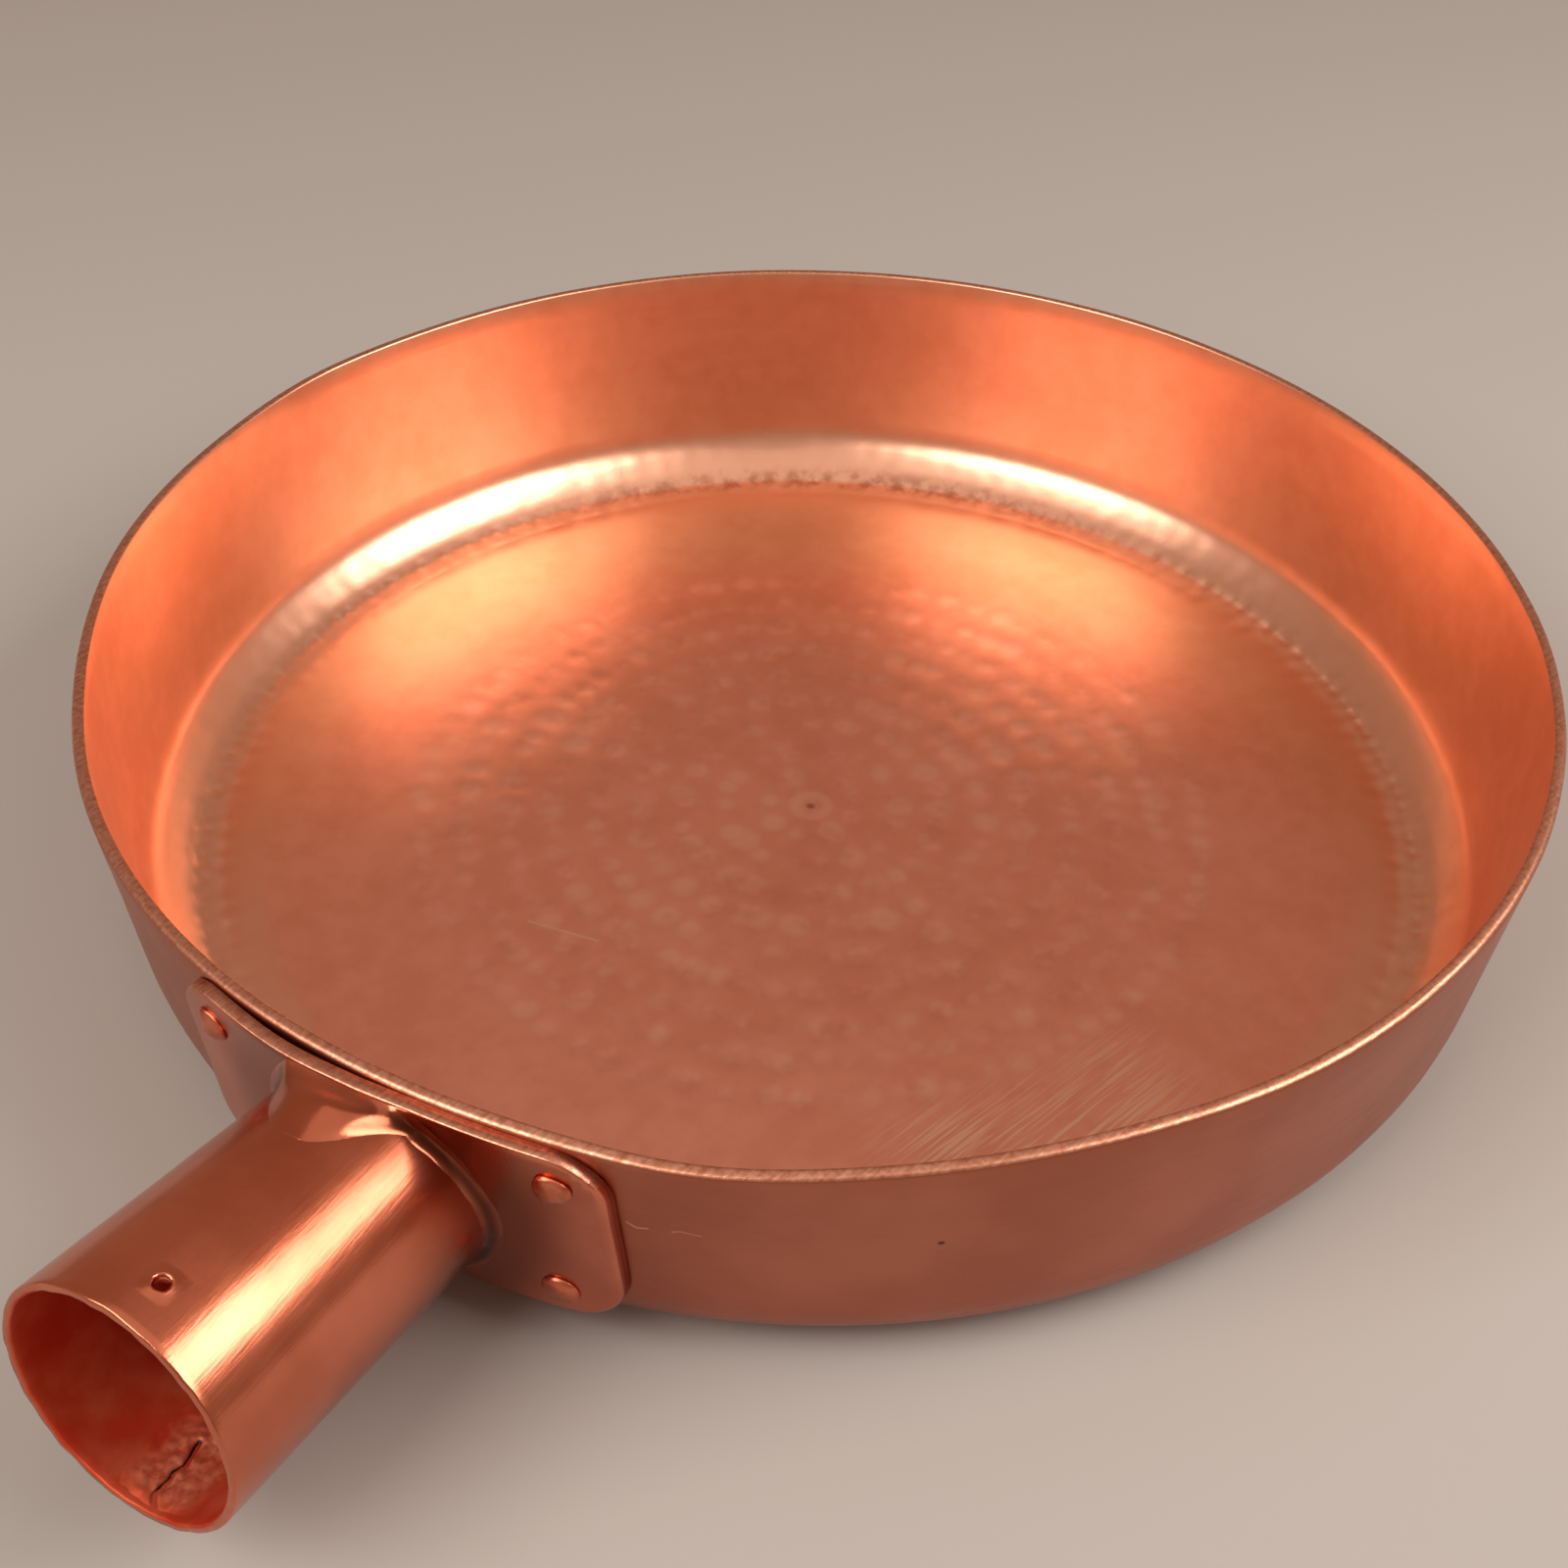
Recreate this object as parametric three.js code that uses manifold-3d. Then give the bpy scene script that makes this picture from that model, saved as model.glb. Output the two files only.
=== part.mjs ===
// A hand-raised copper frying pan whose handle is a riveted copper socket for a wooden grip.
// Millimetres, +Z up. The origin is the centre of the flat underside and +X runs out over the socket.

import * as THREE from 'three';
import { mergeVertices } from 'three/addons/utils/BufferGeometryUtils.js';
import Module from 'manifold-3d';

// Bowl, raised from one disc of sheet copper
const RIM_RADIUS = 130; // outside, at the rim
const PAN_HEIGHT = 49; // underside to the rim's outer edge
const BOWL_SHEET = 2.2;
const WALL_FLARE = THREE.MathUtils.degToRad(6.7); // lean of the wall from upright
const CORNER_RADIUS = 15.6; // outside, from floor to wall

// Flange, a plate curved to the wall that carries the socket
const FLANGE_WIDTH = 74.5; // straight across, from ear to ear
const FLANGE_HEIGHT = 38.8;
const FLANGE_SHEET = 2.2;
const FLANGE_CORNER = 8.5;
const FLANGE_DROP = 1.3; // rim's outer edge down to the flange's top edge

// Socket, a slightly tapered tube rolled from sheet copper
const SOCKET_LENGTH = 51.5; // along its axis, from the flange's face to the mouth
const SOCKET_MOUTH_RADIUS = 20.2; // outside
const SOCKET_FOOT_RADIUS = 18.6; // outside, at the flange's face
const SOCKET_SHEET = 1.4;
const SOCKET_RISE = THREE.MathUtils.degToRad(5.8); // lift of the axis above level
const SOCKET_TURN = THREE.MathUtils.degToRad(-1.8); // slant of the axis, as hand-fitted

// Nail hole near the mouth, which holds the wooden grip
const NAIL_HOLE_RADIUS = 1.2;
const NAIL_HOLE_SETBACK = 7.2; // from the mouth
const NAIL_HOLE_TURN = THREE.MathUtils.degToRad(10); // from the top of the tube towards +Y

// Brazing: a fillet round the socket's foot and a run of filler on its inner seam
const FILLET_RADIUS = 4.5;
const FILLET_EDGE = 0.4; // thickness left at the fillet's two edges
const SEAM_WIDTH = 9;
const SEAM_HEIGHT = 1.1; // filler above the tube's inner face
const SEAM_SETBACK = 1; // from the mouth
const SEAM_TURN = THREE.MathUtils.degToRad(7); // from the bottom of the tube towards +Y

// Rivets, two in each ear
const RIVET_SHANK_RADIUS = 1.8;
const RIVET_HEAD_RADIUS = 3.1;
const RIVET_HEAD_HEIGHT = 1.3;
const RIVET_PEEN_RADIUS = 3; // the closed end, inside the bowl
const RIVET_PEEN_HEIGHT = 0.9;
const RIVET_UPPER_SPREAD = 60; // straight across, between the two ears' upper rivets
const RIVET_LOWER_SPREAD = 56;
const RIVET_ROWS = 27.2; // between the upper and the lower rivets

// Space left between pieces that touch
const CLEARANCE = 0.3;

// Facets round each kind of revolved form
const BOWL_FACETS = 96;
const SOCKET_FACETS = 48;
const SMALL_FACETS = 24;
const ARC_STEPS = 8;

const wasm = await Module();
wasm.setup();

// The faces a lathe folds flat on its axis are left out.
function toSolid(geometry) {
  const bare = geometry.clone();
  bare.deleteAttribute('normal');
  bare.deleteAttribute('uv');
  const merged = mergeVertices(bare);
  const index = merged.index.array;
  const triangles = [];
  for (let i = 0; i < index.length; i += 3) {
    const [a, b, c] = [index[i], index[i + 1], index[i + 2]];
    if (a !== b && b !== c && c !== a) triangles.push(a, b, c);
  }
  return new wasm.Manifold(new wasm.Mesh({
    numProp: 3,
    vertProperties: new Float32Array(merged.attributes.position.array),
    triVerts: new Uint32Array(triangles),
  }));
}

function toGeometry(solid) {
  const { vertProperties, triVerts } = solid.getMesh();
  const geometry = new THREE.BufferGeometry();
  geometry.setAttribute('position', new THREE.BufferAttribute(new Float32Array(vertProperties), 3));
  geometry.setIndex(new THREE.BufferAttribute(new Uint32Array(triVerts), 1));
  geometry.computeVertexNormals();
  return geometry;
}

function cut(geometry, tools) {
  return toGeometry(tools.reduce((solid, tool) => solid.subtract(toSolid(tool)), toSolid(geometry)));
}

function common(geometry, other) {
  return toGeometry(toSolid(geometry).intersect(toSolid(other)));
}

function copper(color, roughness) {
  return new THREE.MeshStandardMaterial({ color, roughness, metalness: 1 });
}

function mesh(name, geometry, material) {
  const part = new THREE.Mesh(geometry, material);
  part.name = name;
  return part;
}

// A profile is a list of [radius, height] points; round stretches are arcs from angle to angle.
function arc(centreRadius, centreHeight, radius, from, to) {
  return Array.from({ length: ARC_STEPS + 1 }, (_, i) => {
    const angle = from + ((to - from) * i) / ARC_STEPS;
    return [centreRadius + radius * Math.cos(angle), centreHeight + radius * Math.sin(angle)];
  });
}

function revolve(profile, facets) {
  return new THREE.LatheGeometry(profile.map(([r, h]) => new THREE.Vector2(r, h)), facets);
}

// The three.js lathe turns about Y: stand it on Z, or lay it along X.
const standing = (profile, facets) => revolve(profile, facets).rotateX(Math.PI / 2);
const lying = (profile, facets) => revolve(profile, facets).rotateZ(-Math.PI / 2);

// Radius of a cone that runs beside the wall, a given distance outside its outer face
function wallRadius(height, outside = 0) {
  return RIM_RADIUS - (PAN_HEIGHT - height) * Math.tan(WALL_FLARE) + outside / Math.cos(WALL_FLARE);
}

// Radius of the bowl's inner face, on the wall or lower down in the round corner
const cornerCentre = wallRadius(CORNER_RADIUS) - CORNER_RADIUS / Math.cos(WALL_FLARE);
const cornerInside = CORNER_RADIUS - BOWL_SHEET;
const cornerEnd = CORNER_RADIUS - cornerInside * Math.sin(WALL_FLARE);
function insideRadius(height) {
  if (height >= cornerEnd) return wallRadius(height, -BOWL_SHEET);
  return cornerCentre + Math.sqrt(cornerInside ** 2 - (CORNER_RADIUS - height) ** 2);
}

// Places on the outside of the wall that the fitted pieces share
const flangeFace = CLEARANCE + FLANGE_SHEET;
const flangeTop = PAN_HEIGHT - FLANGE_DROP;
const flangeMiddle = flangeTop - FLANGE_HEIGHT / 2;
const footX = wallRadius(flangeMiddle, flangeFace);

// Local X runs out along the socket's axis, from the flange's face.
const socketFrame = new THREE.Matrix4()
  .makeRotationFromEuler(new THREE.Euler(0, -SOCKET_RISE, SOCKET_TURN, 'ZYX'))
  .setPosition(footX, 0, flangeMiddle);

// Local X stands square on the flange's face at the foot of the socket.
const footFrame = new THREE.Matrix4()
  .makeRotationY(WALL_FLARE)
  .setPosition(footX, 0, flangeMiddle);

function socketRadius(along) {
  return SOCKET_FOOT_RADIUS + ((SOCKET_MOUTH_RADIUS - SOCKET_FOOT_RADIUS) * along) / SOCKET_LENGTH;
}

// Everything behind the flange's outer face, which trims what stands on that face
function behindFlange() {
  const low = -PAN_HEIGHT;
  const high = 2 * PAN_HEIGHT;
  const outside = flangeFace + CLEARANCE;
  return standing([
    [0, low],
    [wallRadius(low, outside), low],
    [wallRadius(high, outside), high],
    [0, high],
  ], BOWL_FACETS);
}

// Rivets sit square to the wall. Each place turns about Z, then stands out from the wall's outer face.
function rivetFrame(spread, rise) {
  const height = flangeMiddle + rise;
  const radius = wallRadius(height);
  const azimuth = Math.asin(spread / (radius + flangeFace));
  return new THREE.Matrix4()
    .makeRotationFromEuler(new THREE.Euler(0, WALL_FLARE, azimuth, 'ZYX'))
    .setPosition(radius * Math.cos(azimuth), radius * Math.sin(azimuth), height);
}

// Sheet under a rivet's peen, which is thicker where the peen's lower edge reaches into the corner
function rivetGrip(rise) {
  const edge = flangeMiddle + rise - RIVET_PEEN_RADIUS * Math.cos(WALL_FLARE);
  return (wallRadius(edge) - insideRadius(edge)) * Math.cos(WALL_FLARE);
}

const rivets = [
  ['rivet_upper_right', RIVET_UPPER_SPREAD / 2, RIVET_ROWS / 2],
  ['rivet_lower_right', RIVET_LOWER_SPREAD / 2, -RIVET_ROWS / 2],
  ['rivet_upper_left', -RIVET_UPPER_SPREAD / 2, RIVET_ROWS / 2],
  ['rivet_lower_left', -RIVET_LOWER_SPREAD / 2, -RIVET_ROWS / 2],
].map(([name, spread, rise]) => ({ name, frame: rivetFrame(spread, rise), grip: rivetGrip(rise) }));

// Shank holes run well past the wall inside and the flange outside.
function rivetHoles() {
  const outside = 2 * flangeFace;
  const radius = RIVET_SHANK_RADIUS + CLEARANCE;
  return rivets.map(({ frame, grip }) => lying([
    [0, -2 * grip],
    [radius, -2 * grip],
    [radius, outside],
    [0, outside],
  ], SMALL_FACETS).applyMatrix4(frame));
}

// Bowl: flat floor, round corner, flared wall and a rim cut square to the wall
function panBody() {
  const rimIn = RIM_RADIUS - BOWL_SHEET * Math.cos(WALL_FLARE);
  const rimUp = PAN_HEIGHT + BOWL_SHEET * Math.sin(WALL_FLARE);
  const bowl = standing([
    [0, 0],
    ...arc(cornerCentre, CORNER_RADIUS, CORNER_RADIUS, -Math.PI / 2, -WALL_FLARE),
    [RIM_RADIUS, PAN_HEIGHT],
    [rimIn, rimUp],
    ...arc(cornerCentre, CORNER_RADIUS, cornerInside, -WALL_FLARE, -Math.PI / 2),
    [0, BOWL_SHEET],
  ], BOWL_FACETS);
  return mesh('pan_body', cut(bowl, rivetHoles()), copper(0xc96f45, 0.32));
}

// Flange: a ring that follows the wall, trimmed to a round-cornered outline seen along X
function mountingFlange() {
  const low = flangeTop - FLANGE_HEIGHT;
  const ring = standing([
    [wallRadius(low, CLEARANCE), low],
    [wallRadius(low, flangeFace), low],
    [wallRadius(flangeTop, flangeFace), flangeTop],
    [wallRadius(flangeTop, CLEARANCE), flangeTop],
    [wallRadius(low, CLEARANCE), low],
  ], BOWL_FACETS);
  const [w, h, r] = [FLANGE_WIDTH / 2, FLANGE_HEIGHT / 2, FLANGE_CORNER];
  const outline = new THREE.Shape()
    .moveTo(r - w, -h)
    .lineTo(w - r, -h)
    .absarc(w - r, r - h, r, -Math.PI / 2, 0)
    .lineTo(w, h - r)
    .absarc(w - r, h - r, r, 0, Math.PI / 2)
    .lineTo(r - w, h)
    .absarc(r - w, h - r, r, Math.PI / 2, Math.PI)
    .lineTo(-w, r - h)
    .absarc(r - w, r - h, r, Math.PI, Math.PI * 1.5);
  const outlineBar = new THREE.ExtrudeGeometry(outline, {
    depth: 2 * RIM_RADIUS,
    bevelEnabled: false,
    curveSegments: ARC_STEPS,
  });
  // The outline's x and y become the pan's Y and Z.
  const axes = new THREE.Matrix4().makeBasis(
    new THREE.Vector3(0, 1, 0),
    new THREE.Vector3(0, 0, 1),
    new THREE.Vector3(1, 0, 0),
  ).setPosition(0, 0, flangeMiddle);
  const plate = common(ring, outlineBar.applyMatrix4(axes));
  return mesh('mounting_flange', cut(plate, rivetHoles()), copper(0xb9623f, 0.36));
}

// Socket: a tapered tube, open at the mouth, whose foot follows the flange's face
function handleSocket() {
  const start = -SOCKET_FOOT_RADIUS;
  const tube = lying([
    [socketRadius(start) - SOCKET_SHEET, start],
    [socketRadius(start), start],
    [socketRadius(SOCKET_LENGTH), SOCKET_LENGTH],
    [socketRadius(SOCKET_LENGTH) - SOCKET_SHEET, SOCKET_LENGTH],
    [socketRadius(start) - SOCKET_SHEET, start],
  ], SOCKET_FACETS);
  const nailHole = new THREE.CylinderGeometry(
    NAIL_HOLE_RADIUS, NAIL_HOLE_RADIUS, SOCKET_MOUTH_RADIUS, SMALL_FACETS,
  )
    .translate(0, SOCKET_MOUTH_RADIUS, 0)
    .rotateX(Math.PI / 2 - NAIL_HOLE_TURN)
    .translate(SOCKET_LENGTH - NAIL_HOLE_SETBACK, 0, 0);
  const drilled = cut(tube, [nailHole]).applyMatrix4(socketFrame);
  return mesh('handle_socket', cut(drilled, [behindFlange()]), copper(0xb8623e, 0.3));
}

// Fillet: a hollow-faced ring of filler in the corner between the socket and the flange
function footBraze() {
  const foot = SOCKET_FOOT_RADIUS + CLEARANCE;
  const edge = foot + FILLET_EDGE;
  const outer = edge + FILLET_RADIUS;
  const under = -SOCKET_FOOT_RADIUS / 2;
  const ring = lying([
    [foot - FILLET_RADIUS, under],
    [outer, under],
    ...arc(outer, CLEARANCE + FILLET_EDGE + FILLET_RADIUS, FILLET_RADIUS, -Math.PI / 2, -Math.PI),
    [foot - FILLET_RADIUS, CLEARANCE + FILLET_EDGE + FILLET_RADIUS],
    [foot - FILLET_RADIUS, under],
  ], SOCKET_FACETS).applyMatrix4(footFrame);
  // The ring bends round the bowl with the flange.
  const place = ring.attributes.position;
  for (let i = 0; i < place.count; i += 1) {
    place.setX(i, place.getX(i) - footX + Math.sqrt(footX ** 2 - place.getY(i) ** 2));
  }
  const start = -SOCKET_FOOT_RADIUS;
  const socketSpace = lying([
    [0, start],
    [socketRadius(start) + CLEARANCE, start],
    [socketRadius(SOCKET_LENGTH) + CLEARANCE, SOCKET_LENGTH],
    [0, SOCKET_LENGTH],
  ], SOCKET_FACETS).applyMatrix4(socketFrame);
  // It is filed level with the flange's top and bottom edges, or thin over the tube if the tube is taller.
  const lean = WALL_FLARE + SOCKET_RISE;
  const tubeRadius = socketRadius(SOCKET_FOOT_RADIUS * Math.tan(lean)) + CLEARANCE;
  const tubeReach = (tubeRadius * Math.cos(WALL_FLARE)) / Math.cos(lean);
  const brazeReach = Math.max(FLANGE_HEIGHT / 2, tubeReach + FILLET_EDGE);
  const band = new THREE.BoxGeometry(2 * RIM_RADIUS, FLANGE_WIDTH, 2 * brazeReach)
    .translate(RIM_RADIUS, 0, flangeMiddle);
  const braze = cut(common(ring, band), [behindFlange(), socketSpace]);
  return mesh('foot_braze', braze, copper(0xc87850, 0.28));
}

// Seam: a low run of filler along the bottom of the tube's inside
function seamBraze() {
  const start = -SOCKET_FOOT_RADIUS;
  const length = SOCKET_LENGTH - SEAM_SETBACK - start;
  const taper = Math.atan((SOCKET_MOUTH_RADIUS - SOCKET_FOOT_RADIUS) / SOCKET_LENGTH);
  const bed = socketRadius(start) - SOCKET_SHEET - CLEARANCE;
  const half = SEAM_WIDTH / 2;
  const lean = Math.asin(half / bed);
  const crown = SEAM_HEIGHT - (bed - Math.sqrt(bed ** 2 - half ** 2));
  const section = new THREE.Shape()
    .absarc(0, 0, bed, -Math.PI / 2 - lean, -Math.PI / 2 + lean)
    .quadraticCurveTo(0, -bed * Math.cos(lean) + 2 * crown, -half, -bed * Math.cos(lean));
  const run = new THREE.ExtrudeGeometry(section, {
    depth: length / Math.cos(taper),
    bevelEnabled: false,
    curveSegments: ARC_STEPS,
  });
  // The section's x and y become the tube's Y and Z; the run then leans with the tube's taper.
  const axes = new THREE.Matrix4().makeBasis(
    new THREE.Vector3(0, 1, 0),
    new THREE.Vector3(0, 0, 1),
    new THREE.Vector3(1, 0, 0),
  );
  run.applyMatrix4(axes)
    .translate(0, 0, bed)
    .rotateY(taper)
    .translate(start, 0, -bed)
    .rotateX(SEAM_TURN)
    .applyMatrix4(socketFrame);
  return mesh('seam_braze', cut(run, [behindFlange()]), copper(0x9c4a2c, 0.5));
}

// Rivet: round shank, a low dome outside and a lower peened end inside the bowl
function rivet({ name, frame, grip }) {
  const inside = -grip - CLEARANCE;
  const outside = flangeFace + CLEARANCE;
  const dome = (radius, height, base, sign) => Array.from({ length: ARC_STEPS / 2 + 1 }, (_, i) => {
    const angle = (i * Math.PI) / ARC_STEPS;
    return [radius * Math.cos(angle), base + sign * height * Math.sin(angle)];
  });
  const profile = [
    ...dome(RIVET_PEEN_RADIUS, RIVET_PEEN_HEIGHT, inside, -1).reverse(),
    [RIVET_SHANK_RADIUS, inside],
    [RIVET_SHANK_RADIUS, outside],
    ...dome(RIVET_HEAD_RADIUS, RIVET_HEAD_HEIGHT, outside, 1),
  ];
  const part = mesh(name, lying(profile, SMALL_FACETS), copper(0xd06a44, 0.34));
  part.applyMatrix4(frame);
  return part;
}

const pan = new THREE.Group();
pan.add(
  panBody(),
  mountingFlange(),
  handleSocket(),
  footBraze(),
  seamBraze(),
  ...rivets.map(rivet),
);

export default pan;
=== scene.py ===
import itertools
import math
import random

import bmesh
import bpy
from mathutils import Matrix, Vector, kdtree, noise


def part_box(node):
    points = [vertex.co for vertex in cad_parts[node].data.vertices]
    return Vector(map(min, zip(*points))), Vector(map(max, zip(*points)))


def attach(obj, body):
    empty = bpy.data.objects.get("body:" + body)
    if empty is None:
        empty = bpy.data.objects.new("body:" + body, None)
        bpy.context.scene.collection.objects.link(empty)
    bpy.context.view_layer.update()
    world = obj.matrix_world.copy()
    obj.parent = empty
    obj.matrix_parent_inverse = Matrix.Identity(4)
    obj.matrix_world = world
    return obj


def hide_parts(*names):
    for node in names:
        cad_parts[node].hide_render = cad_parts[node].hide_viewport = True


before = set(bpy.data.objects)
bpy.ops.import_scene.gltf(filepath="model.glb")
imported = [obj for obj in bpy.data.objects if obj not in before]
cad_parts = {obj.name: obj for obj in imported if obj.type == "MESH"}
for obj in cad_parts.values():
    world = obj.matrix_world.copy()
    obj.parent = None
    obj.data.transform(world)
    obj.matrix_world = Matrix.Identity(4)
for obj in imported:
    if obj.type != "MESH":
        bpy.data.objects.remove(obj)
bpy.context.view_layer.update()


# Pan body: the bowl, raised by hand from one disc of sheet copper and brushed to a satin finish.
# Rings of round hammer blows stiffen the floor, and smaller blows set the corner between floor and wall.
# The rim is cut square to the wall and filed, and it waves a little where the hammer closed it.
pan_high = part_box("pan_body")[1]
bowl_sheet = 0.0022
wall_flare = math.radians(6.7)
corner_radius = 0.0156
rim_radius = pan_high.x
rim_height = pan_high.z - bowl_sheet * math.sin(wall_flare)
rim_rounding = 0.0005
rim_outer_rounding = 0.0010
bowl_steps = 640
bowl_doublings = 4

# The rim's hand-made waves: azimuth and spread in degrees, then metres outwards and upwards
rim_waves = (
    (0, 12, -0.0003, 0.0001),
    (22, 9, 0.0009, -0.0005),
    (48, 11, -0.0004, 0.0005),
    (262, 8, 0.0009, 0.0),
    (310, 12, -0.0010, 0.0),
)
wave_fade = 1.5


def wall_radius(height, outside=0.0):
    """Radius of the wall's outer face at a height, or of a cone that far outside it."""
    upright = rim_radius - (rim_height - height) * math.tan(wall_flare)
    return upright + outside / math.cos(wall_flare)


def line(start, end, steps):
    """Outline points (radius, height) from start to just before end."""
    return [Vector(start).lerp(Vector(end), step / steps) for step in range(steps)]


def arc(centre, radius, first, last, steps):
    """Outline points on an arc, from the first angle to just before the last."""
    angles = [first + (last - first) * step / steps for step in range(steps)]
    return [Vector(centre) + radius * Vector((math.cos(a), math.sin(a))) for a in angles]


def spun(outline, axis, steps, doublings=0):
    """A closed shape spun once round an axis from outline points, which start and end on it or meet.
    A long outline is spun part of the way, and the part is then copied on round by doubling."""
    shape = bmesh.new()
    up = Vector((0, 0, 1)) if axis == "X" else Vector((1, 0, 0))
    along = Vector((1, 0, 0)) if axis == "X" else Vector((0, 0, 1))
    verts = [shape.verts.new(radius * up + distance * along) for radius, distance in outline]
    edges = [shape.edges.new(pair) for pair in zip(verts, verts[1:])]
    turn = math.tau / 2 ** doublings
    bmesh.ops.spin(
        shape, geom=verts + edges, cent=(0, 0, 0), axis=along,
        angle=turn, steps=steps // 2 ** doublings, use_merge=doublings == 0,
    )
    for doubling in range(doublings):
        whole = shape.verts[:] + shape.edges[:] + shape.faces[:]
        copied = bmesh.ops.duplicate(shape, geom=whole)["geom"]
        copied_verts = [part for part in copied if isinstance(part, bmesh.types.BMVert)]
        around = Matrix.Rotation(turn * 2 ** doubling, 3, along)
        bmesh.ops.rotate(shape, verts=copied_verts, cent=(0, 0, 0), matrix=around)
    bmesh.ops.remove_doubles(shape, verts=shape.verts, dist=1e-6)
    bmesh.ops.recalc_face_normals(shape, faces=shape.faces)
    shape.normal_update()
    return shape


def follow_rim(place):
    """Moves a point on or near the wall with the rim's waves, which fade out down the wall."""
    azimuth = math.degrees(math.atan2(place.y, place.x))
    share = max(0.0, (place.z - corner_radius) / (rim_height - corner_radius)) ** wave_fade
    outwards = upwards = 0.0
    for middle, spread, out, up in rim_waves:
        off = (azimuth - middle + 180) % 360 - 180
        swell = math.exp(-((off / spread) ** 2)) * share
        outwards += out * swell
        upwards += up * swell
    grown = 1 + outwards / max(place.xy.length, bowl_sheet)
    return Vector((place.x * grown, place.y * grown, place.z + upwards))


def strike(shape, verts, blows):
    """Presses blows (place, radius, depth) into the verts near them, and notes them as struck."""
    marks = kdtree.KDTree(len(blows))
    for index, (place, _, _) in enumerate(blows):
        marks.insert(place, index)
    marks.balance()
    widest = max(radius for _, radius, _ in blows)
    deepest = max(depth for _, _, depth in blows)
    struck = shape.verts.layers.float["struck"]
    for vert in verts:
        pressed = 0.0
        for _, index, distance in marks.find_range(vert.co, widest):
            _, radius, depth = blows[index]
            press = max(0.0, 1 - (distance / radius) ** 2) ** 2
            pressed += depth * press
            vert[struck] = max(vert[struck], press * math.sqrt(depth / deepest))
        vert.co -= vert.normal * pressed


def finished(name, shape, *finishes):
    """A smooth-shaded object of a finished shape, in the object's own frame."""
    mesh = bpy.data.meshes.new(name)
    shape.to_mesh(mesh)
    shape.free()
    mesh.shade_smooth()
    for finish in finishes:
        mesh.materials.append(finish)
    made = bpy.data.objects.new(name, mesh)
    bpy.context.scene.collection.objects.link(made)
    return made


# The inner corner is round, but flatter along a band that a broad hammer set.
corner_centre = wall_radius(corner_radius) - corner_radius / math.cos(wall_flare)
corner_middle = Vector((corner_centre, corner_radius))
corner_inside = corner_radius - bowl_sheet
corner_steps = 30
corner_turn = wall_flare - math.pi / 2
band_middle = math.radians(-46)
band_half = math.radians(24)
band_flatness = 0.027


def on_corner(slope):
    """Outline point (radius, height) of the inner corner at a slope."""
    off = min(1.0, abs(slope - band_middle) / band_half)
    reach = corner_inside * (1 - band_flatness * (1 - off ** 2) ** 2)
    return corner_middle + reach * Vector((math.cos(slope), math.sin(slope)))


up_wall = Vector((math.sin(wall_flare), math.cos(wall_flare)))
across_rim = Vector((-math.cos(wall_flare), math.sin(wall_flare)))
rim_outer = Vector((rim_radius, rim_height))
rim_inner = rim_outer + across_rim * bowl_sheet
outer_round = rim_outer + (across_rim - up_wall) * rim_outer_rounding
inner_round = rim_inner - (across_rim + up_wall) * rim_rounding
wall_foot_out = corner_middle - across_rim * corner_radius
wall_foot_in = corner_middle - across_rim * corner_inside
wall_rows = 8
struck_floor = 0.079
struck_rows = 58
plain_rows = 19
centre_mark = 0.002
centre_rows = 4

bowl_outline = (
    line((0, 0), (corner_centre, 0), 3)
    + arc(corner_middle, corner_radius, -math.pi / 2, -wall_flare, 10)
    + line(wall_foot_out, rim_outer - up_wall * rim_outer_rounding, wall_rows)
    + arc(outer_round, rim_outer_rounding, -wall_flare, math.pi / 2 - wall_flare, 5)
    + line(rim_outer + across_rim * rim_outer_rounding, rim_inner - across_rim * rim_rounding, 2)
    + arc(inner_round, rim_rounding, math.pi / 2 - wall_flare, math.pi - wall_flare, 3)
    + line(rim_inner - up_wall * rim_rounding, wall_foot_in, wall_rows)
    + [on_corner(corner_turn * step / corner_steps - wall_flare) for step in range(corner_steps)]
    + line((corner_centre, bowl_sheet), (struck_floor, bowl_sheet), plain_rows)
    + line((struck_floor, bowl_sheet), (centre_mark, bowl_sheet), struck_rows)
    + line((centre_mark, bowl_sheet), (0, bowl_sheet), centre_rows)
    + [Vector((0, bowl_sheet))]
)
bowl_shape = spun(bowl_outline, "Z", bowl_steps, bowl_doublings)
bowl_shape.verts.layers.float.new("struck")

# The inside has the first finish, the cut rim the second and the outside the third.
rim_facing = 0.6
outer_facing = 0.01
for face in bowl_shape.faces:
    middle = face.calc_center_median()
    outwards = face.normal.xy.dot(middle.xy.normalized())
    if face.normal.z > rim_facing and middle.z > rim_height - rim_outer_rounding:
        face.material_index = 1
    elif max(outwards, -face.normal.z) > outer_facing:
        face.material_index = 2

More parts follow.
